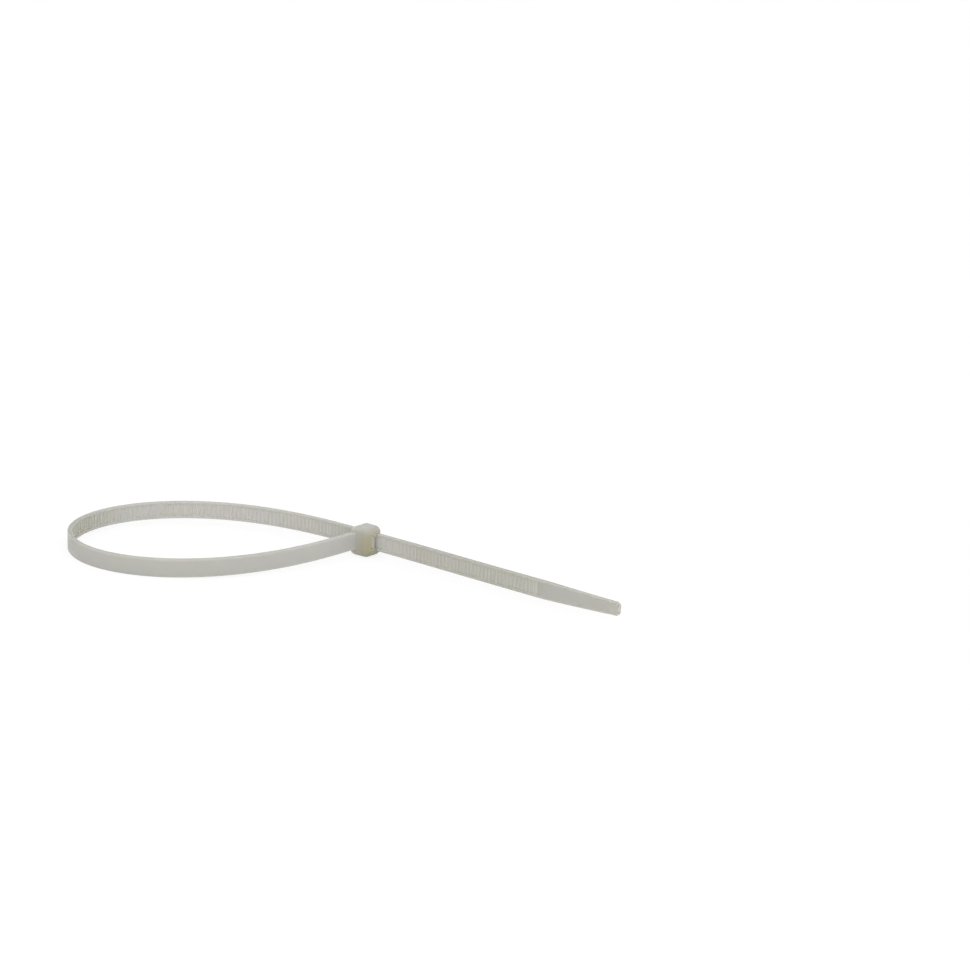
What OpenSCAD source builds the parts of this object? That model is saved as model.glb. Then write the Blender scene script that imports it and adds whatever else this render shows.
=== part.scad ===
// Self-locking cable tie, moulded in one piece, closed into a wide loop with its tail left long.
// It stands on the strap's edge, as a closed tie lies on a table.
// The slot's own frame has its origin where the strap enters the head, +X along the slot the way
// the tail leaves, the root strand leaving along -Y, and Z = 0 at the middle of the strap's width.

/* [Strap] */
// Length of the whole tie laid flat, from the back of the head to the tip
overall_len = 288.6; // [265:0.1:340]
// Width of the strap from edge to edge
strap_w = 4.8; // [4:0.1:6]
// Thickness of the strap over its rails
strap_t = 1.2; // [1:0.05:1.5]
// Length of the tapered tip
taper_len = 22; // [14:1:30]
// Width of the tip's end
tip_w = 3.5; // [2.6:0.1:3.9]
// Thickness of the tip's end
tip_t = 0.85; // [0.6:0.05:1]
// Radius of the two corners of the tip
tip_r = 1; // [0.4:0.1:1.2]

/* [Teeth] */
// Distance from one tooth of the rack to the next
tooth_pitch = 1.2; // [0.9:0.05:1.5]
// Height of the teeth, which is the depth of the channel that they stand in
tooth_h = 0.35; // [0.25:0.05:0.5]
// Width of the smooth rail on each side of the channel
rail_w = 0.7; // [0.5:0.05:0.9]
// Length of smooth strap between the head and the first tooth
plain_len = 15; // [8:1:25]
// Length over which the channel runs out to the rails' height at each end of the rack
run_out = 2.4; // [1.2:0.6:4.8]

/* [Loop] */
// Tightest radius of the loop, at its far end from the head
loop_r = 24.65; // [20:0.05:27]
// Turn of the tail in each millimetre as it leaves the head, in degrees, clockwise from above
tail_turn_head = 0.105; // [0:0.005:0.2]
// Turn of the tail in each millimetre at its tip
tail_turn_tip = -0.21; // [-0.3:0.01:0]

/* [Head] */
// Width of the head across the strap
head_w = 8; // [7.6:0.1:9.5]
// Depth of the head along the slot, from the face that the strap enters to the exit face
head_t = 6.3; // [5.6:0.05:7.5]
// Distance from the middle of the slot to the side that the strap grows from
root_side = 4; // [3.8:0.1:4.8]
// Distance from the middle of the slot to the back of the head
back_side = 2.4; // [2.2:0.1:3.4]
// How much narrower the head is at its exit face, on the back and on the root side each
head_draft = 0.2; // [0:0.05:0.5]
// Radius of the long edges of the head, which run along the slot
long_edge_r = 1.3; // [0.5:0.1:1.6]
// Radius of the edges round the exit face, which make it a low dome
exit_edge_r = 2.2; // [1:0.1:2.5]
// Radius of the edges round the entry face
entry_edge_r = 1.1; // [0.4:0.1:1.3]
// Radius of the entry face's one edge that the strap grows along
root_edge_r = 0.3; // [0.1:0.05:0.6]
// Radius of the fillets where the strap grows from the head
neck_r = 1; // [0.4:0.1:1.3]

/* [Slot and pawl] */
// Clearance between the strap and each wall of the slot
slot_gap = 0.15; // [0.1:0.01:0.3]
// Width and depth of the lead-in at the slot's entry
lead_in = 0.4; // [0.2:0.05:0.6]
// Thickness of the wall between the pawl's pocket and the root side
root_wall = 1.4; // [1.1:0.05:1.6]
// Thickness of the web at the entry face that the pawl's hinge grows from
hinge_web = 0.7; // [0.5:0.05:0.9]
// Thickness of the pawl's living hinge
hinge_t = 0.45; // [0.3:0.05:0.6]
// Room behind the pawl's free end, for the pawl to swing back into
pawl_swing = 0.5; // [0.4:0.05:0.7]
// Distance that the pawl's free end stays back from the exit face
pawl_back = 0.35; // [0.2:0.05:0.6]
// Clearance between the pawl and the strap that it locks
pawl_gap = 0.07; // [0.05:0.01:0.12]

/* [Hidden] */

natural_nylon = [0.73, 0.72, 0.68];

full_turn = 270;
half_turn = full_turn / 2;
arc_steps = 8;
// Amount that a cut runs past the face that it leaves
past = 1;
// Depth that the rim of a fillet is sunk into the face that it runs out on
sunk = 0.02;
// Depth that the strap is moulded into the head's wall, past the rounded edge
seat = (root_edge_r + root_wall) / 2;

strap_y = strap_t / 2;
floor_y = strap_y - tooth_h;
channel_w = strap_w - 2 * rail_w;
slot_y = strap_y + slot_gap;
slot_w = strap_w + 2 * slot_gap;
pocket_y = root_side - root_wall;
pawl_w = channel_w - 2 * slot_gap;
pocket_w = pawl_w + 2 * slot_gap;

// Unit vector along v
function unit(v) = v / norm(v);

// Outline whose corners are given as [x, y, radius], anticlockwise, with each corner rounded
function rounded(corners) = [
    for (i = [0 : len(corners) - 1])
        each corner_arc(corners[(i + len(corners) - 1) % len(corners)], corners[i],
                        corners[(i + 1) % len(corners)])
];

// Points of one rounded corner b, between its neighbours a and c
function corner_arc(a, b, c) =
    let (
        tip = [b[0], b[1]],
        to_a = unit([a[0], a[1]] - tip),
        to_c = unit([c[0], c[1]] - tip),
        half = acos(to_a * to_c) / 2,
        centre = tip + unit(to_a + to_c) * b[2] / sin(half),
        first = tip + to_a * b[2] / tan(half) - centre,
        start = atan2(first[1], first[0])
    )
    b[2] == 0 ? [tip] : [
        for (k = [0 : arc_steps])
            let (angle = start + (180 - 2 * half) * k / arc_steps)
            centre + b[2] * [cos(angle), sin(angle)]
    ];

// The loop is the shape that a springy strip takes when its two ends are held square to each other.
// Its curvature, as a share of that at the far end, where the strip is `angle` away from the far end
function bend_share(flat, angle) = sqrt(1 - 2 * flat * (1 - cos(angle)));

quad_step = 0.25;
quad_angles = [quad_step / 2 : quad_step : half_turn];
quad_rad = quad_step * PI / 180;

// Distance, in far-end radii, by which half the loop reaches past the line that it is mirrored in
function half_reach(flat) =
    quad_rad * [for (a = quad_angles) cos(a) / bend_share(flat, a)] * [for (a = quad_angles) 1];

// Value of flat at which the two strands meet the head square to each other
function solve_flat(low, high, rounds) =
    let (middle = (low + high) / 2)
    rounds == 0 ? middle
    : half_reach(middle) * loop_r > root_side * sin(45) ? solve_flat(middle, high, rounds - 1)
    : solve_flat(low, middle, rounds - 1);

flat_limit = 1 / (2 * (1 - cos(half_turn)));
flat = solve_flat(0, flat_limit, 30);
loop_len = 2 * loop_r * quad_rad
    * [for (a = quad_angles) 1 / bend_share(flat, a)] * [for (a = quad_angles) 1];

// The strap is worked out at four stations for each tooth, and runs past its tip, which is cut there
per_tooth = 4;
step_len = tooth_pitch / per_tooth;
strap_len = overall_len - root_side - back_side;
stations = ceil(strap_len / step_len) + 1;
tail_len = strap_len - loop_len - root_side;

// A station is [x, y, turn so far, length from the root]
function turn_rate(at) =
    at[2] < full_turn && at[0] < head_t
        ? bend_share(flat, at[2] - half_turn) / loop_r * 180 / PI
    : at[0] < head_t ? 0
    : tail_turn_head + (tail_turn_tip - tail_turn_head) * (at[0] - head_t) / tail_len;

function heading(at) = -90 - at[2];

function next_station(at) =
    let (
        middle = [at[0], at[1], at[2] + turn_rate(at) * step_len / 2, at[3]],
        turned = at[2] + turn_rate(middle) * step_len,
        in_loop = at[2] < full_turn && at[0] < head_t
    )
    [at[0] + step_len * cos(heading(middle)), at[1] + step_len * sin(heading(middle)),
     in_loop ? min(turned, full_turn) : turned, at[3] + step_len];

path = [
    for (i = 0, at = [strap_t / 2, -root_side, 0, 0]; i <= stations; at = next_station(at), i = i + 1)
        at
];

// Point beside a station, d to the inside of the loop
function beside(at, d) = [at[0] + d * sin(heading(at)), at[1] - d * cos(heading(at))];

tip_x = path[stations][0] - (stations * step_len - strap_len) * cos(heading(path[stations]));
taper_x = tip_x - taper_len;

// Inner face of the strap, which falls away towards the tip
function inner_y(at) =
    at[0] < taper_x ? strap_y
    : strap_y - (strap_t - tip_t) * (at[0] - taper_x) / taper_len;

// First and last station of the rack, and the stations that its channel runs out over
rack_start = round(plain_len / step_len);
rack_teeth = floor((strap_len - taper_len - run_out - plain_len) / tooth_pitch) - 1;
rack_end = rack_start + rack_teeth * per_tooth;
run_out_steps = round(run_out / step_len);
channel_start = rack_start - run_out_steps;
channel_end = rack_end + per_tooth + run_out_steps;

// Outline of the strap from above, without its channel
function strap_outline() = concat(
    [[0, -root_side + seat]],
    [for (i = [0 : per_tooth : stations]) beside(path[i], inner_y(path[i]))],
    [beside(path[stations], inner_y(path[stations]))],
    [beside(path[stations], -strap_y)],
    [for (i = [stations - stations % per_tooth : -per_tooth : 0]) beside(path[i], -strap_y)],
    [[strap_t, -root_side + seat]]
);

// Outline of what the channel takes away: each tooth rises square on its root side, has a flat
// crest a quarter of the pitch long, and slopes down towards the tip
function channel_outline() = concat(
    [beside(path[channel_start], strap_y + past), beside(path[channel_start], strap_y),
     beside(path[rack_start], floor_y)],
    [for (i = [rack_start + per_tooth : per_tooth : rack_end]) each [
        beside(path[i], floor_y), beside(path[i], strap_y), beside(path[i + 1], strap_y)]],
    [beside(path[rack_end + per_tooth], floor_y), beside(path[channel_end], strap_y),
     beside(path[channel_end], strap_y + past)],
    [for (i = [rack_end : -per_tooth : rack_start + per_tooth]) beside(path[i], strap_y + past)]
);

// Outline of the tapered tip across its width
function tip_outline() = rounded([
    [taper_x, -strap_w / 2, 0], [tip_x, -tip_w / 2, tip_r],
    [tip_x, tip_w / 2, tip_r], [taper_x, strap_w / 2, 0]
]);

// What the taper takes away from the strap
module tip_trim() {
    reach = 10 * strap_w;
    translate([0, path[stations][1] + reach / 2, 0])
        rotate([90, 0, 0])
            linear_extrude(reach)
                difference() {
                    translate([taper_x, -strap_w])
                        square([taper_len + past, 2 * strap_w]);
                    polygon(tip_outline());
                }
}

module strap() {
    difference() {
        linear_extrude(strap_w, center = true)
            polygon(strap_outline());
        linear_extrude(channel_w, center = true)
            polygon(channel_outline());
        tip_trim();
    }
}

// Fillets of the neck: on the outer face of the strap, and on its two edges
module neck() {
    side_y = -root_side + head_draft * (strap_t + neck_r) / head_t;
    linear_extrude(strap_w, center = true)
        difference() {
            translate([strap_t / 2, side_y - neck_r])
                square([strap_t / 2 + neck_r, neck_r + seat]);
            translate([strap_t + neck_r, side_y + sunk - neck_r])
                circle(neck_r, $fn = 48);
        }
    edge_r = min(neck_r, (head_w - strap_w) / 2 - max(entry_edge_r, long_edge_r));
    for (side = [-1, 1])
        rotate([90, 0, 90])
            linear_extrude(strap_t)
                difference() {
                    translate([side_y - edge_r, side > 0 ? 0 : -strap_w / 2 - edge_r])
                        square([edge_r + seat, strap_w / 2 + edge_r]);
                    translate([side_y - edge_r, side * (strap_w / 2 + edge_r)])
                        circle(edge_r, $fn = 48);
                }
}

// Block of the head: its plan, its end and its side, each rounded, and what the three share
module head_block() {
    plan = rounded([
        [0, -root_side, root_edge_r], [head_t, -root_side + head_draft, exit_edge_r],
        [head_t, back_side - head_draft, exit_edge_r], [0, back_side, entry_edge_r]
    ]);
    end = rounded([
        [-root_side, -head_w / 2, long_edge_r], [back_side, -head_w / 2, long_edge_r],
        [back_side, head_w / 2, long_edge_r], [-root_side, head_w / 2, long_edge_r]
    ]);
    side = rounded([
        [0, -head_w / 2, entry_edge_r], [head_t, -head_w / 2, exit_edge_r],
        [head_t, head_w / 2, exit_edge_r], [0, head_w / 2, entry_edge_r]
    ]);
    intersection() {
        linear_extrude(head_w, center = true)
            polygon(plan);
        rotate([90, 0, 90])
            linear_extrude(head_t)
                polygon(end);
        translate([0, back_side, 0])
            rotate([90, 0, 0])
                linear_extrude(root_side + back_side)
                    polygon(side);
    }
}

// Passage for the strap, with a lead-in on the side away from the pawl
module slot_cut() {
    linear_extrude(slot_w, center = true)
        polygon([
            [-past, -slot_y], [head_t + past, -slot_y], [head_t + past, slot_y],
            [lead_in, slot_y], [0, slot_y + lead_in], [-past, slot_y + lead_in]
        ]);
}

// Pocket that the pawl swings in, open to the slot and to the exit face
module pawl_pocket() {
    linear_extrude(pocket_w, center = true)
        polygon([
            [hinge_web, -slot_y + past / 2], [hinge_web, -pocket_y],
            [head_t + past, -pocket_y], [head_t + past, -slot_y + past / 2]
        ]);
}

// The pawl's teeth stand in the gaps of the rack, with their square faces towards the exit
pawl_end = head_t - pawl_back;
loop_end_s = loop_len + root_side - strap_t / 2;
gap_end = floor((loop_end_s + pawl_end - plain_len) / tooth_pitch) * tooth_pitch
    + plain_len - loop_end_s - pawl_gap;
pawl_teeth = 3;
pawl_top = -strap_y - pawl_gap;
pawl_foot = -pocket_y + pawl_swing;

// The pawl grows thicker from its hinge to its free end, with a bevel under the tip
module pawl() {
    hinge_y = pawl_top - hinge_t / 2;
    first = gap_end - pawl_teeth * tooth_pitch + tooth_pitch / per_tooth;
    nose = (pawl_top - pawl_foot) / 4;
    linear_extrude(pawl_w, center = true)
        polygon(concat(
            [[hinge_web / 2, hinge_y - hinge_t], [hinge_web + hinge_t, hinge_y - hinge_t],
             [gap_end - tooth_pitch, pawl_foot], [pawl_end - nose, pawl_foot],
             [pawl_end, pawl_foot + nose], [pawl_end, pawl_top - nose], [gap_end, pawl_top]],
            [for (k = [0 : pawl_teeth - 1]) each [
                [gap_end - k * tooth_pitch, -floor_y - pawl_gap],
                [gap_end - (k + 1) * tooth_pitch + tooth_pitch / per_tooth, pawl_top],
                if (k < pawl_teeth - 1) [gap_end - (k + 1) * tooth_pitch, pawl_top]]],
            [[first - hinge_t, pawl_top], [hinge_web / 2, hinge_y]]
        ));
}

module head() {
    difference() {
        head_block();
        slot_cut();
        pawl_pocket();
    }
    pawl();
}

// The head is wider than the strap, so the tie leans on the head's lower edge, on the root side,
// until the part of the loop that is furthest from the head on that side touches the table too
loop_reach = max([for (at = path) -beside(at, -strap_y)[1]]);
head_reach = root_side - long_edge_r;
lean = atan((head_w - strap_w) / 2 / (loop_reach - head_reach));

module cable_tie() {
    color(natural_nylon)
        rotate([lean, 0, 0])
            translate([-head_t / 2, (root_side - back_side) / 2, head_w / 2]) {
                strap();
                neck();
                head();
            }
}

cable_tie();
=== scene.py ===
# Cable tie in natural nylon, moulded in one piece and closed into a wide loop.
# Lengths are in millimetres in the slot's own axes until a mesh is finished: X runs along the slot
# the way the tail leaves, the strap grows from the head along -Y, and Z = 0 is mid-width.
import math

import bmesh
import bpy
import numpy as np
from mathutils import Matrix, Vector


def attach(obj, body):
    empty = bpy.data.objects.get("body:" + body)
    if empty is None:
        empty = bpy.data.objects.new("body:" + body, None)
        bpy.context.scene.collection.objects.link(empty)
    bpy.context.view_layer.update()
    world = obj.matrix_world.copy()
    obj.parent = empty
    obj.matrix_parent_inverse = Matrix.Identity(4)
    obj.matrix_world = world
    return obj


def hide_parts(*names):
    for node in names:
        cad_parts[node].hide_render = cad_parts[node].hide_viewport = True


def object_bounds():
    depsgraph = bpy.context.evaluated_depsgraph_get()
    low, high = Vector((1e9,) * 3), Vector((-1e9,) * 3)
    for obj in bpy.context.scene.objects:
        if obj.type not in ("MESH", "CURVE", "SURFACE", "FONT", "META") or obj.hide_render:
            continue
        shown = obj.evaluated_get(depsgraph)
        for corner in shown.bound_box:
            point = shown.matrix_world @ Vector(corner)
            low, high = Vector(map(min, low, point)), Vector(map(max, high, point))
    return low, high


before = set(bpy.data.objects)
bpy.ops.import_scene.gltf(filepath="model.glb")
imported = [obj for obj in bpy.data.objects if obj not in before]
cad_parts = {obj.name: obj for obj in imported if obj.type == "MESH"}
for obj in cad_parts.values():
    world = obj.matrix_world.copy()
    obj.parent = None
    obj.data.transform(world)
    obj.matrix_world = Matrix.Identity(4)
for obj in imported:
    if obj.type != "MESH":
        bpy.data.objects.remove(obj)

cad_low, cad_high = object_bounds()
scene = bpy.context.scene
scene.view_settings.view_transform = "Standard"

# The tie on the table
# A closed tie lies on the edge of its strap. The head is wider than the strap, so the tie leans on
# the head's lower edge until the loop touches the table as well.
mm = 0.001  # in metres
overall_len = 288.6
strap_w = 4.8
strap_t = 1.2
head_w = 8.0
head_t = 6.3
long_edge_r = 1.3

# From the middle of the slot to the side of the head that the strap grows from, and to its back
root_side = 4.0
back_side = 2.4
strap_len = overall_len - root_side - back_side

# The radius at the loop's far end, and the turn from there to either end, which meet the head square
loop_r = 24.65
half_turn = math.radians(135)

# How fast the tail bends by the head and at its tip, in degrees per millimetre
tail_turn_head = 0.105
tail_turn_tip = -0.21

# The steps in which the loop is worked out, by length and by angle, and the rounds of its search
path_step = 0.05
turn_step = math.radians(0.25)
turn_angles = np.arange(turn_step / 2, half_turn, turn_step)
halvings = 30


def bend_share(flat, angle):
    """Curvature of the loop as a share of that at its far end, `angle` away from the far end."""
    return np.sqrt(1 - 2 * flat * (1 - np.cos(angle)))


def solve_flat():
    """How much the bend eases off towards the head, so that both strands meet it square."""
    low, high = 0.0, 1 / (2 * (1 - math.cos(half_turn)))
    end_off_axis = root_side * math.sin(half_turn)
    for _ in range(halvings):
        flat = (low + high) / 2
        reach = loop_r * turn_step * np.sum(np.cos(turn_angles) / bend_share(flat, turn_angles))
        if reach > end_off_axis:
            low = flat
        else:
            high = flat
    return flat


def strap_path(flat, tail_len):
    """Length, place and heading of the strap's middle, from its root through the head to its tip."""
    x, y, turned, along = strap_t / 2, -root_side, 0.0, 0.0
    rows = []
    while along < strap_len + path_step:
        rows.append((along, x, y, -math.pi / 2 - turned))
        # Round the loop, straight on through the slot, and along the tail
        if turned < 2 * half_turn and x < head_t:
            middle = turned + bend_share(flat, turned - half_turn) / loop_r * path_step / 2
            turn = bend_share(flat, middle - half_turn) / loop_r * path_step
            new_turned = min(turned + turn, 2 * half_turn)
        elif x < head_t:
            new_turned = turned
        else:
            share = (x - head_t) / tail_len
            rate = tail_turn_head + (tail_turn_tip - tail_turn_head) * share
            new_turned = turned + math.radians(rate) * path_step
        heading = -math.pi / 2 - (turned + new_turned) / 2
        x += path_step * math.cos(heading)
        y += path_step * math.sin(heading)
        turned = new_turned
        along += path_step
    return np.array(rows).T


flat = solve_flat()
loop_len = 2 * loop_r * turn_step * np.sum(1 / bend_share(flat, turn_angles))
path_along, path_x, path_y, path_heading = strap_path(flat, strap_len - loop_len - root_side)

loop_reach = np.max(-path_y - strap_t / 2 * np.cos(path_heading))
head_reach = root_side - long_edge_r
lean = math.atan((head_w - strap_w) / 2 / (loop_reach - head_reach))
mould_to_table = (
    Matrix.Scale(mm, 4)
    @ Matrix.Rotation(lean, 4, "X")
    @ Matrix.Translation((-head_t / 2, (root_side - back_side) / 2, head_w / 2))
)


def at_origin(name, mesh):
    """A finished piece: its mesh goes to the table's axes in metres, its object stays at the origin."""
    mesh.transform(mould_to_table)
    mesh.name = name
    piece = bpy.data.objects.new(name, mesh)
    scene.collection.objects.link(piece)
    return piece


# The camera
# It stands in front and to the right, a little above the tie, at the photograph's distance. It was
# fitted to the outlines of the loop and the tail, so its place is given from the slot's entry.
photo_height = 971
focal_pixels = 2140.7
sensor_long_side = 36.0
look_turn = math.radians(37.41)
look_down = math.radians(15.494)
look_roll = math.radians(2.325)
camera_place = Vector((33.053, -553.447, 169.340))
nearest_seen = 0.01

camera_pose = (
    mould_to_table
    @ Matrix.Rotation(look_turn, 4, "Z")
    @ Matrix.Translation(camera_place)
    @ Matrix.Rotation(math.pi / 2 - look_down, 4, "X")
    @ Matrix.Rotation(look_roll, 4, "Z")
)
camera_data = bpy.data.cameras.new("photo_camera")
camera_data.sensor_width = sensor_long_side
camera_data.lens = focal_pixels / photo_height * sensor_long_side
camera_data.clip_start = nearest_seen
camera = bpy.data.objects.new("photo_camera", camera_data)
camera.location = camera_pose.to_translation()
camera.rotation_euler = camera_pose.to_3x3().normalized().to_euler()
scene.collection.objects.link(camera)
scene.camera = camera

# The strap
# A long nylon strip 4.8 mm wide with a rack of saw teeth in a channel on its inner face, smooth on
# its outer face. It is moulded flat with the head and bent here into the loop of a springy strip.
plain_len = 15.0
tooth_pitch = 1.2
tooth_h = 0.35
run_out = 2.4
rail_w = 0.7
taper_len = 22.0
tip_w = 3.5
tip_t = 0.85
tip_r = 1.0

# The edge and the thickness of the head's wall that the strap grows from, in which its root is sunk
root_edge_r = 0.3
root_wall = 1.4
seat = (root_edge_r + root_wall) / 2

# A saw tooth in shares of the pitch: steep to the end of its flank, flat to the end of its crest,
# and then sloping down to the next
flank = 0.05
crest = 0.25
rack_start = plain_len
rack_teeth = int((strap_len - taper_len - run_out - plain_len) / tooth_pitch) - 1
rack_end = rack_start + (rack_teeth + 1) * tooth_pitch

# Where the cross-sections stand: close together on the flanks of each tooth and round the tip
tooth_rings = (0.0, 0.5 * flank, flank, 1.6 * flank, crest - 0.05, crest, crest + 0.06, 0.6, 0.97)
smooth_step = 1.2
ramp_step = 0.3
tip_steps = 9

rings = list(np.arange(-seat, rack_start - run_out - ramp_step, smooth_step))
rings += list(np.linspace(rack_start - run_out, rack_start, round(run_out / ramp_step) + 1))
for tooth in range(1, rack_teeth + 1):
    rings += [rack_start + tooth_pitch * (tooth + ring) for ring in tooth_rings]
rings += list(np.linspace(rack_end, rack_end + run_out, round(run_out / ramp_step) + 1))
rings += list(np.arange(rack_end + run_out + ramp_step, strap_len - tip_r - ramp_step, smooth_step))
rings += [strap_len - tip_r * (1 - math.sin(math.pi / 2 * k / tip_steps)) for k in range(tip_steps + 1)]
rings = np.array(rings)

ring_x = np.interp(rings, path_along, path_x)
ring_y = np.interp(rings, path_along, path_y)
ring_heading = np.interp(rings, path_along, path_heading)
in_wall = rings < 0
ring_y[in_wall] = -root_side - rings[in_wall]


def half_width(along):
    """Half the width of the strap: it tapers to the tip, whose corners are rounded."""
    left = strap_len - along
    width = strap_w / 2 - (strap_w - tip_w) / 2 * np.clip(1 - left / taper_len, 0, 1)
    into = np.clip(tip_r - left, 0, tip_r)
    return width - (tip_r - np.sqrt(tip_r ** 2 - into ** 2))


def line_mesh(name, points, closed, marks):
    """Points joined by edges, each with the numbers in marks."""
    count = len(points)
    edges = [(i, i + 1) for i in range(count - 1)] + ([(count - 1, 0)] if closed else [])
    mesh = bpy.data.meshes.new(name)
    mesh.from_pydata(points, edges, [])
    for mark, values in marks.items():
        values = np.asarray(values, dtype=float)
        kind = "FLOAT_VECTOR" if values.ndim == 2 else "FLOAT"
        field = mesh.attributes.new(mark, kind, "POINT")
        field.data.foreach_set("vector" if values.ndim == 2 else "value", values.ravel())
    line = bpy.data.objects.new(name, mesh)
    scene.collection.objects.link(line)
    return line


strap_line = line_mesh(
    "strap_line",
    [(x, y, 0) for x, y in zip(ring_x, ring_y)],
    closed=False,
    marks={
        "along": rings,
        "inward": np.stack([np.sin(ring_heading), -np.cos(ring_heading), 0 * rings], axis=1),
        "half_w": half_width(rings),
        "thin": (strap_t - tip_t) * np.clip(1 - (strap_len - rings) / taper_len, 0, 1),
    },
)


def strap_section():
    """Cross-section as (inward, across, floor, inner): rounded edges, two rails and the channel."""
    edge_r = 0.16
    lip_r = 0.05
    lip_mid = 0.3 * lip_r
    out, rail, floor = -strap_t / 2, strap_t / 2, strap_t / 2 - tooth_h
    side = strap_w / 2
    channel = side - rail_w
    arc = [math.radians(a) for a in (0, 30, 60, 90)]
    half = [(out, 0.0, 0, 0), (out, 0.5 * side, 0, 0)]
    half += [(out + edge_r * (1 - math.cos(a)), side - edge_r * (1 - math.sin(a)), 0, 0) for a in arc]
    half += [(rail - edge_r * (1 - math.sin(a)), side - edge_r * (1 - math.cos(a)), 0, 1) for a in arc]
    half += [(rail, channel + lip_r, 0, 1), (rail - lip_mid, channel + lip_mid, 0, 1)]
    half += [(rail - lip_r, channel, 0, 1), (floor, channel - lip_r, 1, 1), (floor, 0.5 * channel, 1, 1)]
    half += [(floor, 0.0, 1, 1)]
    other = [(a, -b, f, i) for a, b, f, i in half[-2:0:-1]]
    return half + other


section_rows = strap_section()
section_line = line_mesh(
    "section_line",
    [(row[0], -row[1], 0) for row in section_rows],
    closed=True,
    marks={
        "floor": [row[2] for row in section_rows],
        "inner": [row[3] for row in section_rows],
        "across": [row[1] / (strap_w / 2) for row in section_rows],
    },
)


class Signal:
    """One output of a node, so that nodes are written as sums: arithmetic on it adds Math nodes."""

    def __init__(self, net, socket):
        self.net = net
        self.socket = socket

    def math(self, operation, *terms):
        return self.net.add("ShaderNodeMath", {"operation": operation}, dict(enumerate(terms)))

    def __add__(self, other):
        return self.math("ADD", self, other)

    def __sub__(self, other):
        return self.math("SUBTRACT", self, other)

    def __mul__(self, other):
        return self.math("MULTIPLY", self, other)

    def __truediv__(self, other):
        return self.math("DIVIDE", self, other)

    def __radd__(self, other):
        return self.math("ADD", other, self)

    def __rsub__(self, other):
        return self.math("SUBTRACT", other, self)

    def __rmul__(self, other):
        return self.math("MULTIPLY", other, self)

    def __pow__(self, other):
        return self.math("POWER", self, other)

    def __gt__(self, other):
        return self.math("GREATER_THAN", self, other)

    def __lt__(self, other):
        return self.math("LESS_THAN", self, other)

    def least(self, other):
        return self.math("MINIMUM", self, other)

    def most(self, other):
        return self.math("MAXIMUM", self, other)

    def fraction(self):
        return self.math("FRACT", self)

    def absolute(self):
        return self.math("ABSOLUTE", self)


class Net:
    """A node tree and the one way in which nodes are added to it."""

    def __init__(self, tree):
        self.tree = tree

    def add(self, kind, settings=None, inputs=None, output=0):
        node = self.tree.nodes.new(kind)
        for name, value in (settings or {}).items():
            if name == "stops":
                self.set_stops(node.color_ramp, value)
            else:
                setattr(node, name, value)
        for key, value in (inputs or {}).items():
            if isinstance(value, Signal):
                self.tree.links.new(value.socket, node.inputs[key])
            else:
                node.inputs[key].default_value = value
        return Signal(self, node.outputs[output]) if node.outputs else node

    def set_stops(self, ramp, stops):
        while len(ramp.elements) < len(stops):
            ramp.elements.new(1.0)
        for element, (place, colour) in zip(ramp.elements, stops):
            element.position = place
            element.color = colour


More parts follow.
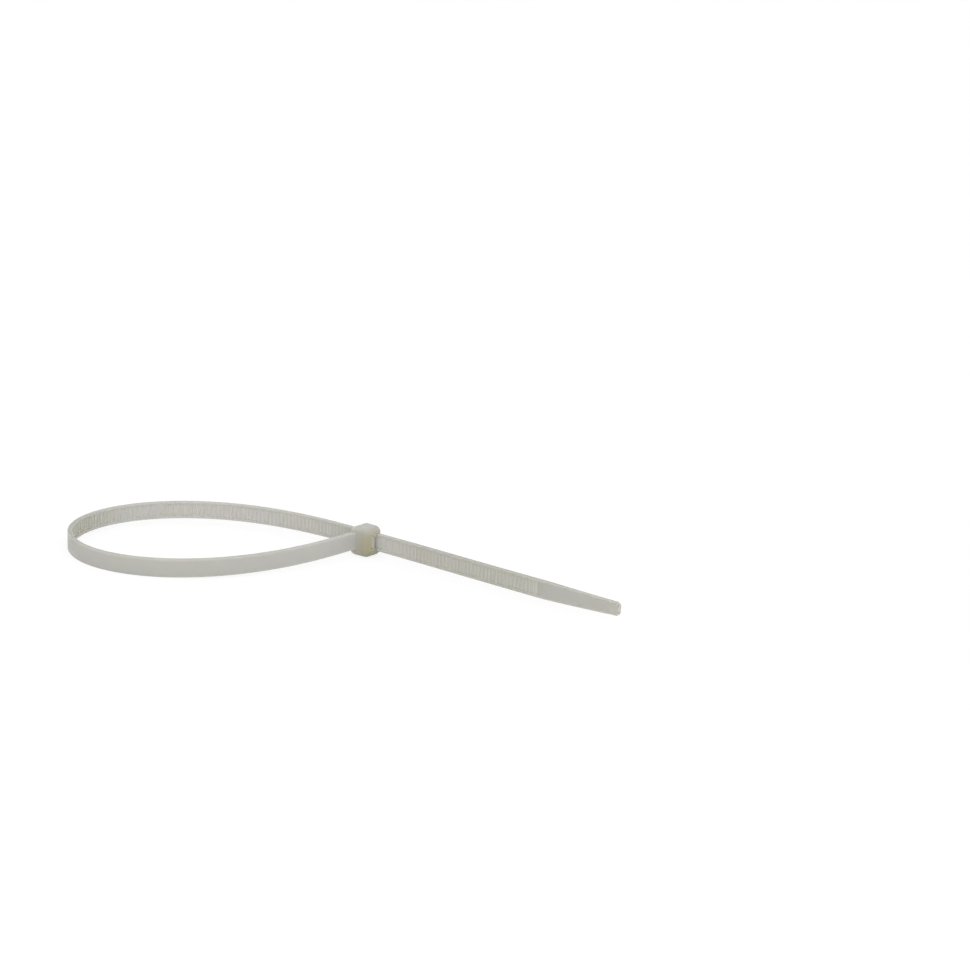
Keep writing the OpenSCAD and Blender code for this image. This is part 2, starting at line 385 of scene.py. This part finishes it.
def sweep_tree(material):
    """The strap as nodes: the section swept along the line, with the rack raised in its channel."""
    tree = bpy.data.node_groups.new("strap_sweep", "GeometryNodeTree")
    tree.interface.new_socket(name="Strap", in_out="OUTPUT", socket_type="NodeSocketGeometry")
    tree.interface.new_socket(name="Line", in_out="INPUT", socket_type="NodeSocketGeometry")
    tree.interface.new_socket(name="Section", in_out="INPUT", socket_type="NodeSocketObject")
    for name in ("Strap Width", "Tooth Pitch", "Tooth Height", "Rack Start", "Rack End", "Run Out",
                 "Flank", "Crest"):
        tree.interface.new_socket(name=name, in_out="INPUT", socket_type="NodeSocketFloat")
    net = Net(tree)
    given = tree.nodes.new("NodeGroupInput")
    size = {socket.name: Signal(net, socket) for socket in given.outputs if socket.name}

    def mark(name, kind="FLOAT"):
        return net.add("GeometryNodeInputNamedAttribute", {"data_type": kind}, {"Name": name})

    line = net.add("GeometryNodeMeshToCurve", inputs={"Mesh": size["Line"]})
    upright = net.add("GeometryNodeSetCurveNormal", {"mode": "Z_UP"}, {"Curve": line})
    shape = net.add("GeometryNodeObjectInfo", inputs={"Object": size["Section"]}, output="Geometry")
    outline = net.add("GeometryNodeMeshToCurve", inputs={"Mesh": shape})
    swept = net.add("GeometryNodeCurveToMesh", inputs={
        "Curve": upright, "Profile Curve": outline, "Fill Caps": True})

    # In the channel the floor is lifted tooth by tooth, and up to the rails past the rack's two ends.
    # A ring right at the start of a tooth counts as past it, whichever way its place was rounded.
    past_rounding = 0.0001
    along = mark("along")
    teeth_on = (along - size["Rack Start"]) / size["Tooth Pitch"] + past_rounding
    phase = teeth_on.fraction()
    rise = (phase / size["Flank"]).least(1.0)
    fall = (1.0 - phase) / (1.0 - size["Crest"])
    in_rack = (teeth_on > 1.0) * (along < size["Rack End"])
    from_root = (along - size["Rack Start"]) / size["Run Out"] + 1.0
    to_tip = (size["Rack End"] - along) / size["Run Out"] + 1.0
    depth = from_root.least(to_tip).least(1.0).most(0.0)
    tooth = rise.least(fall)
    lift = 1.0 - depth * (1.0 - in_rack * tooth)
    shift = mark("floor") * lift * size["Tooth Height"] - mark("inner") * mark("thin")
    offset = net.add("ShaderNodeVectorMath", {"operation": "SCALE"}, {
        0: mark("inward", "FLOAT_VECTOR"), "Scale": shift})
    # The gaps of the rack, which the material lightens as painted light against their shade
    valley = mark("floor") * in_rack * (1.0 - tooth)
    marked = net.add("GeometryNodeStoreNamedAttribute", {"data_type": "FLOAT", "domain": "POINT"}, {
        "Geometry": swept, "Name": "valley", "Value": valley})
    raised = net.add("GeometryNodeSetPosition", inputs={"Geometry": marked, "Offset": offset})

    # Towards the tip the section is squeezed narrower, and points that fall together are merged
    merge_within = 0.002
    place = net.add("GeometryNodeInputPosition")
    across = mark("half_w") / (size["Strap Width"] * 0.5)
    squeezed = net.add("ShaderNodeVectorMath", {"operation": "MULTIPLY"}, {
        0: place, 1: net.add("ShaderNodeCombineXYZ", inputs={"X": 1.0, "Y": 1.0, "Z": across})})
    tapered = net.add("GeometryNodeSetPosition", inputs={"Geometry": raised, "Position": squeezed})
    closed = net.add("GeometryNodeMergeByDistance", inputs={
        "Geometry": tapered, "Distance": merge_within})
    real = net.add("GeometryNodeRealizeInstances", inputs={"Geometry": closed})
    painted = net.add("GeometryNodeSetMaterial", inputs={"Geometry": real, "Material": material})
    result = tree.nodes.new("NodeGroupOutput")
    tree.links.new(painted.socket, result.inputs["Strap"])
    return tree


# The tones of the nylon: in the rack's gaps, pale where the web is thin and lightened further by
# painted light against the shade in the gaps; in the rest of the strap; and on the thick head by
# height, from the table to its top, olive from its thickness and lighter towards the top as painted
# light from above
thin_web_and_painted_light = (0.72, 0.71, 0.69, 1)
thin_nylon = (0.55, 0.545, 0.525, 1)
thick_nylon_with_painted_light = [
    (0.00, (0.320, 0.322, 0.224, 1)),
    (0.30, (0.392, 0.364, 0.228, 1)),
    (0.60, (0.414, 0.386, 0.256, 1)),
    (0.88, (0.446, 0.428, 0.336, 1)),
    (0.99, (0.484, 0.470, 0.446, 1)),
]
gap_falloff = 1.5

# How much of the thick tone the head shows at the strap's root, and how much more with each
# millimetre from there
thick_at_root = 0.15
thicker_per_mm = 0.15

# Painted light and shade along the strap, by share of its length from root to tip: darker at the
# loop's far end and along the tail. And how many times more of the blue than of the rest goes where
# it is darker
painted_shade_along = [(0.0, 1.0), (0.1, 0.96), (0.27, 0.95), (0.33, 0.87), (0.37, 0.86), (0.45, 1.0),
         (0.52, 1.0), (0.62, 0.965), (0.73, 0.96), (0.77, 0.87), (0.89, 0.87), (0.93, 0.93)]
yellowing = 1.3

# Faint clouds where the melt flowed, and darker edges along the strap: partly how its edges look, partly
# painted shade against the light that their rounding catches
flow_size = 9.0
flow_tones = [(0.35, (0.975, 0.990, 0.975, 1)), (0.65, (1.0, 0.985, 0.980, 1))]
edge_shade_from = 0.9
edge_shade_tone = (0.88, 0.88, 0.86, 1)

# The satin skin off the mould: patches of gloss, a fine grain and low ripples
gloss_size = 1.7
least_roughness = 0.36
patch_roughness = 0.14
grain_size = 0.16
ripple_size = 1.3
ripple_share = 2.0
skin_depth = 0.01
skin_strength = 0.35

# How light bends in nylon, and how far it spreads below the skin
refraction = 1.53
spread = 1.4
spread_by_colour = (1.0, 0.95, 0.8)


def natural_nylon():
    """Milky nylon: pale where it is thin, olive where it is thick, with painted light and shade and a
    satin skin off the mould.
    """
    material = bpy.data.materials.new("natural_nylon")
    material.use_nodes = True
    material.node_tree.nodes.clear()
    net = Net(material.node_tree)
    place = net.add("ShaderNodeTexCoord", output="Object")

    def mark(name):
        return net.add("ShaderNodeAttribute", {"attribute_name": name}, output="Fac")

    def cloud(size):
        return net.add("ShaderNodeTexNoise", inputs={"Vector": place, "Scale": 1 / (mm * size)})

    # A Mix node has sockets for every kind of data, so those of its colours are given by number
    first_colour, second_colour, mixed_colour = 6, 7, 2

    def blend(share, first, second, kind="MIX"):
        return net.add("ShaderNodeMix", {"data_type": "RGBA", "blend_type": kind}, {
            "Factor": share, first_colour: first, second_colour: second}, output=mixed_colour)

    height = net.add("ShaderNodeSeparateXYZ", inputs={"Vector": place}, output="Z")
    # The head's olive tone by height, with painted light: lighter towards its top, darker towards the
    # table
    thick = net.add("ShaderNodeValToRGB", {"stops": thick_nylon_with_painted_light}, {"Fac": height / (mm * head_w)})
    root_place = (mm * (strap_t - head_t) / 2, -mm * (root_side + back_side) / 2, 0.0)
    flat_place = net.add("ShaderNodeVectorMath", {"operation": "MULTIPLY"}, {
        0: place, 1: (1.0, 1.0, 0.0)})
    from_root = net.add("ShaderNodeVectorMath", {"operation": "DISTANCE"}, {
        0: flat_place, 1: root_place}, output="Value")
    depth = (thick_at_root + from_root * (thicker_per_mm / mm)).least(1.0)

    # Painted light: the rack's gaps and the walls round the slot and pocket are lightened against their
    # shade
    web = blend(mark("valley") ** gap_falloff, thin_nylon, thin_web_and_painted_light)
    # Painted light and shade along the strap: darker at the loop's far end and on the tail
    tones = [(share, (tone, tone, 1 - yellowing * (1 - tone), 1)) for share, tone in painted_shade_along]
    tone = net.add("ShaderNodeValToRGB", {"stops": tones}, {"Fac": mark("along") / strap_len})
    shaded_along = blend(1.0, web, tone, "MULTIPLY")
    body = blend(mark("bulk") * depth, shaded_along, thick)

    flow = net.add("ShaderNodeValToRGB", {"stops": flow_tones}, {"Fac": cloud(flow_size)})
    clouded = blend(1.0, body, flow, "MULTIPLY")
    # Painted shade along the strap's edges, against the light that their rounding catches
    edge_shade = ((mark("across").absolute() - edge_shade_from) / (1 - edge_shade_from)).most(0.0)
    colour = blend(edge_shade, clouded, edge_shade_tone, "MULTIPLY")

    roughness = least_roughness + patch_roughness * cloud(gloss_size)
    skin = net.add("ShaderNodeBump", inputs={
        "Strength": skin_strength,
        "Distance": mm * skin_depth,
        "Height": cloud(grain_size) + ripple_share * cloud(ripple_size),
    })
    nylon_skin = net.add("ShaderNodeBsdfPrincipled", {"subsurface_method": "RANDOM_WALK"}, {
        "Base Color": colour,
        "Roughness": roughness,
        "IOR": refraction,
        "Subsurface Weight": 1.0,
        "Subsurface Radius": spread_by_colour,
        "Subsurface Scale": mm * spread,
        "Normal": skin,
    })
    net.add("ShaderNodeOutputMaterial", inputs={"Surface": nylon_skin})
    return material


nylon = natural_nylon()
sweep = strap_line.modifiers.new("sweep", "NODES")
sweep.node_group = sweep_tree(nylon)
sweep_inputs = {
    "Section": section_line,
    "Strap Width": strap_w,
    "Tooth Pitch": tooth_pitch,
    "Tooth Height": tooth_h,
    "Rack Start": rack_start,
    "Rack End": rack_end,
    "Run Out": run_out,
    "Flank": flank,
    "Crest": crest,
}
for item in sweep.node_group.interface.items_tree:
    if item.item_type == "SOCKET" and item.in_out == "INPUT" and item.name in sweep_inputs:
        sweep[item.identifier] = sweep_inputs[item.name]


def plain_mesh(source):
    """The object's mesh with its modifiers applied."""
    graph = bpy.context.evaluated_depsgraph_get()
    return bpy.data.meshes.new_from_object(source.evaluated_get(graph), depsgraph=graph)


def closed_outwards(mesh, same_place=0.0005):
    """Doubles merged and faces turned outwards, on a shape that is closed."""
    work = bmesh.new()
    work.from_mesh(mesh)
    bmesh.ops.remove_doubles(work, verts=work.verts, dist=same_place)
    bmesh.ops.recalc_face_normals(work, faces=work.faces)
    work.to_mesh(mesh)
    work.free()
    return mesh


strap_mesh = closed_outwards(plain_mesh(strap_line))
for helper in (strap_line, section_line):
    bpy.data.objects.remove(helper)

# The head
# A square block of the same nylon with a domed exit side, moulded round the root of the strap. The
# other end passes through its slot, where a toothed pawl on a living hinge grips the rack.
head_draft = 0.2
exit_edge_r = 2.2
entry_edge_r = 1.1
least_corner_r = 0.05
slot_gap = 0.15
lead_in = 0.4

# The web in front of the pawl, its hinge, the room that it swings in, and its gap to the rack
hinge_web = 0.7
hinge_t = 0.45
pawl_swing = 0.5
pawl_back = 0.35
pawl_gap = 0.07

# No moulded corner is quite sharp: round the slot and the pocket they have a small radius
corner_r = 0.07
corner_steps = 2
corner_from = math.radians(40)

slot_y = strap_t / 2 + slot_gap
slot_half_w = strap_w / 2 + slot_gap
pocket_y = root_side - root_wall
pocket_half_w = strap_w / 2 - rail_w
pawl_half_w = pocket_half_w - slot_gap


def rounded_ring(low_a, high_a, half_b, radius, steps=8):
    """Outline of a rectangle with rounded corners, anticlockwise, as pairs (a, b)."""
    corners = ((high_a, half_b, 0), (low_a, half_b, 90), (low_a, -half_b, 180), (high_a, -half_b, 270))
    outline = []
    for a, b, start in corners:
        side_a = -1 if a == high_a else 1
        side_b = -1 if b > 0 else 1
        for k in range(steps + 1):
            angle = math.radians(start + 90 * k / steps)
            outline.append((a + side_a * radius + radius * math.cos(angle),
                            b + side_b * radius + radius * math.sin(angle)))
    return outline


def loft(name, ring_points):
    """Closed object through rings of equally many points."""
    work = bmesh.new()
    rows = [[work.verts.new(point) for point in ring] for ring in ring_points]
    for before, after in zip(rows, rows[1:]):
        for i, corner in enumerate(before):
            follower = (i + 1) % len(before)
            work.faces.new((corner, before[follower], after[follower], after[i]))
    work.faces.new(rows[0])
    work.faces.new(rows[-1])
    bmesh.ops.recalc_face_normals(work, faces=work.faces)
    mesh = bpy.data.meshes.new(name)
    work.to_mesh(mesh)
    work.free()
    mesh.materials.append(nylon)
    block = bpy.data.objects.new(name, mesh)
    scene.collection.objects.link(block)
    return block


def plate(name, outline, half_w):
    """Closed object with one outline from above, as wide as twice half_w."""
    return loft(name, [[(x, y, z) for x, y in outline] for z in (-half_w, half_w)])


def combine(target, operation, other):
    """One boolean on the target, with the other object used up."""
    step = target.modifiers.new(operation.lower(), "BOOLEAN")
    step.operation = operation
    step.solver = "MANIFOLD"
    step.object = other
    mesh = plain_mesh(target)
    target.modifiers.clear()
    target.data = mesh
    bpy.data.objects.remove(other)


def round_off(radius, depth):
    """How far a rounded edge stands back, `depth` away from the face that it runs round."""
    return radius - math.sqrt(radius ** 2 - (radius - min(depth, radius)) ** 2)


def head_ring(x, depth, edge_r, root_r):
    """Outline of the head at x, `depth` behind a face with edges of edge_r, root_r on the root side."""
    draft = head_draft * x / head_t
    inset = round_off(edge_r, depth)
    root_inset = round_off(root_r, depth)
    outline = rounded_ring(-root_side + draft + root_inset, back_side - draft - inset,
                           head_w / 2 - inset, max(long_edge_r * (1 - inset / edge_r), least_corner_r))
    return [(x, y, z) for y, z in outline]


rim_steps = 10
rim_shares = [1 - math.cos(math.pi / 2 * k / rim_steps) for k in range(rim_steps + 1)]
entry_rim = [head_ring(entry_edge_r * share, entry_edge_r * share, entry_edge_r, root_edge_r)
             for share in rim_shares]
exit_rim = [head_ring(head_t - exit_edge_r * share, exit_edge_r * share, exit_edge_r, exit_edge_r)
            for share in reversed(rim_shares)]
head = loft("head", entry_rim + exit_rim)

# The slot with its lead-in on the entry side, and the pocket in which the pawl swings
beyond = 1.0
combine(head, "DIFFERENCE", plate("slot", [
    (-beyond, -slot_y), (head_t + beyond, -slot_y), (head_t + beyond, slot_y),
    (lead_in, slot_y), (0.0, slot_y + lead_in), (-beyond, slot_y + lead_in)], slot_half_w))
combine(head, "DIFFERENCE", plate("pawl_pocket", [
    (hinge_web, 0.0), (hinge_web, -pocket_y), (head_t + beyond, -pocket_y),
    (head_t + beyond, 0.0)], pocket_half_w))
soften = head.modifiers.new("soften", "BEVEL")
soften.width = corner_r
soften.segments = corner_steps
soften.limit_method = "ANGLE"
soften.angle_limit = corner_from
head.data = plain_mesh(head)
head.modifiers.clear()

# The neck: fillets from the head's side to the strap's outer face and, as far as there is room, to
# its two edges. They run a little way into the strap, so that the two join.
neck_r = 1.0
side_r = min(neck_r, (head_w - strap_w) / 2 - max(entry_edge_r, long_edge_r))
strap_edge_r = 0.14
strap_edge_steps = 4
neck_y = -root_side + head_draft * (strap_t + neck_r) / head_t
neck_steps = 8
under_skin = 0.02

neck_shares = [-seat] + [1 - math.cos(math.pi / 2 * k / neck_steps) for k in range(neck_steps + 1)]
neck_rings = []
for share in neck_shares:
    depth = neck_r * share
    out = round_off(neck_r, max(depth, 0)) - under_skin
    up = round_off(side_r, max(depth, 0)) - under_skin
    outline = rounded_ring(under_skin, strap_t + out, strap_w / 2 + up,
                           strap_edge_r + max(up, 0), strap_edge_steps)
    neck_rings.append([(x, neck_y - depth, z) for x, z in outline])
combine(head, "UNION", loft("neck", neck_rings))

# The pawl: its teeth stand in the gaps of the rack, square faces towards the exit. The first of
# them fills the last gap that ends before the pawl does.
pawl_teeth = 3
pawl_end = head_t - pawl_back
pawl_top = -strap_t / 2 - pawl_gap
pawl_foot = -pocket_y + pawl_swing
nose = (pawl_top - pawl_foot) / 4
tooth_tip = pawl_top + tooth_h
hinge_y = pawl_top - hinge_t / 2

# Where the rack would start if the strap ran straight back from the slot, and where that gap ends
straight_start = plain_len - (loop_len + root_side - strap_t / 2)
pitches = math.floor((pawl_end - straight_start) / tooth_pitch)
gap_end = straight_start + pitches * tooth_pitch - pawl_gap
pawl_outline = [
    (hinge_web / 2, hinge_y - hinge_t), (hinge_web + hinge_t, hinge_y - hinge_t),
    (gap_end - tooth_pitch, pawl_foot), (pawl_end - nose, pawl_foot),
    (pawl_end, pawl_foot + nose), (pawl_end, pawl_top - nose), (gap_end, pawl_top),
]
for tooth in range(pawl_teeth):
    face = gap_end - tooth * tooth_pitch
    if tooth > 0:
        pawl_outline.append((face, pawl_top))
    pawl_outline += [(face, tooth_tip), (face - (1 - crest) * tooth_pitch, pawl_top)]
pawl_outline += [(pawl_outline[-1][0] - hinge_t, pawl_top), (hinge_web / 2, hinge_y)]
combine(head, "UNION", plate("pawl", pawl_outline, pawl_half_w))

# The moulding
# Head and strap come out of the mould as one piece of nylon, so they are joined into one closed
# mesh, and its broad faces are shaded smooth between their edges.
smooth_up_to = math.radians(35)
moulding = bpy.data.objects.new("strap", strap_mesh)
scene.collection.objects.link(moulding)
combine(moulding, "UNION", head)
tie_mesh = moulding.data
bpy.data.objects.remove(moulding)
for mark in ("floor", "inner", "inward", "half_w", "thin"):
    tie_mesh.attributes.remove(tie_mesh.attributes[mark])

# How thick the nylon is at each point: thick on the outside of the head, less so round its slot and
# pocket, and thin on the strap, which begins where the neck's fillets do
hollow_bulk = 0.45
neck_fade = 0.4
margin = 0.01
places = np.empty(3 * len(tie_mesh.vertices))
tie_mesh.vertices.foreach_get("co", places)
places = places.reshape(-1, 3)


def within(low, high):
    """Whether each point of the moulding lies in this box or on its faces."""
    return np.all((places > np.array(low) - margin) & (places < np.array(high) + margin), axis=1)


in_slot = within((0, -slot_y, -slot_half_w), (head_t, slot_y, slot_half_w))
in_pocket = within((hinge_web, -pocket_y, -pocket_half_w), (head_t, 0, pocket_half_w))
hollow = in_slot | in_pocket
in_head = within((0, -root_side - neck_r, -head_w), (head_t, back_side, head_w))
past_head = np.clip((neck_y - places[:, 1]) / neck_fade, 0, 1)
bulk = np.where(hollow, hollow_bulk, np.where(in_head, 1 - past_head, 0.0))
tie_mesh.attributes.new("bulk", "FLOAT", "POINT").data.foreach_set("value", bulk)

# The thin walls round the hollows get the same painted light as the gaps of the rack, against the shade
# inside the slot and the pocket
valley = np.empty(len(bulk))
tie_mesh.attributes["valley"].data.foreach_get("value", valley)
tie_mesh.attributes["valley"].data.foreach_set("value", np.maximum(valley, hollow))
tie_mesh.shade_smooth()
tie_mesh.set_sharp_from_angle(angle=smooth_up_to)

tie = at_origin("cable_tie_moulding", tie_mesh)
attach(tie, "root")
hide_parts("cable_tie")

# The floor and the light
# A plain white table in a white room, under one large soft lamp in front of it. Both look white to
# the camera, and the table keeps the tie's shadow.
floor_reach = 4.0
floor_colour = (0.9, 0.9, 0.9, 1)
white = (1, 1, 1, 1)

# The camera sees the floor's paint, with the shadow on it, under this share of a white glow
glow_share = 0.75
glow_strength = 1.08

# The light that the room sheds on the tie, where 1 is the white that the camera sees
room_light = 0.85

# The lamp's light on a face turned to it, as a share of that from an all-white room, its direction
# as seen from the tie, its distance and its size in metres
lamp_share = 0.33
lamp_turn = math.radians(-45)
lamp_rise = math.radians(25)
lamp_away = 0.7
lamp_size = (1.2, 0.5)


def seen_directly(net):
    """1 for what the camera, a gloss or a clear body sees, 0 for the light that falls on a surface."""
    ray = net.add("ShaderNodeLightPath", output="Is Camera Ray")
    for kind in ("Is Glossy Ray", "Is Transmission Ray"):
        ray = ray.most(net.add("ShaderNodeLightPath", output=kind))
    return ray


table = bpy.data.materials.new("white_table")
table.use_nodes = True
table.node_tree.nodes.clear()
net = Net(table.node_tree)
paint = net.add("ShaderNodeBsdfDiffuse", inputs={"Color": floor_colour})
glow = net.add("ShaderNodeEmission", inputs={"Color": white, "Strength": glow_strength})
look = net.add("ShaderNodeMixShader", inputs={0: seen_directly(net) * glow_share, 1: paint, 2: glow})
net.add("ShaderNodeOutputMaterial", inputs={"Surface": look})

floor_mesh = bpy.data.meshes.new("floor")
floor_mesh.from_pydata(
    [(sx * floor_reach, sy * floor_reach, cad_low.z) for sx, sy in ((-1, -1), (1, -1), (1, 1), (-1, 1))],
    [], [(0, 1, 2, 3)])
floor_mesh.materials.append(table)
floor = bpy.data.objects.new("floor", floor_mesh)
scene.collection.objects.link(floor)

world = bpy.data.worlds.new("white_room")
world.use_nodes = True
world.node_tree.nodes.clear()
net = Net(world.node_tree)
strength = room_light + (1.0 - room_light) * seen_directly(net)
sky = net.add("ShaderNodeBackground", inputs={"Color": white, "Strength": strength})
net.add("ShaderNodeOutputWorld", inputs={"Surface": sky})
scene.world = world

lamp_data = bpy.data.lights.new("soft_lamp", "AREA")
lamp_data.shape = "RECTANGLE"
lamp_data.size, lamp_data.size_y = lamp_size
lamp_data.energy = lamp_share * (math.pi * lamp_away) ** 2
lamp = bpy.data.objects.new("soft_lamp", lamp_data)
lamp_direction = Vector((math.cos(lamp_rise) * math.cos(lamp_turn),
                         math.cos(lamp_rise) * math.sin(lamp_turn), math.sin(lamp_rise)))
lamp.location = (cad_low + cad_high) / 2 + lamp_away * lamp_direction
lamp.rotation_euler = lamp_direction.to_track_quat("Z", "Y").to_euler()
scene.collection.objects.link(lamp)
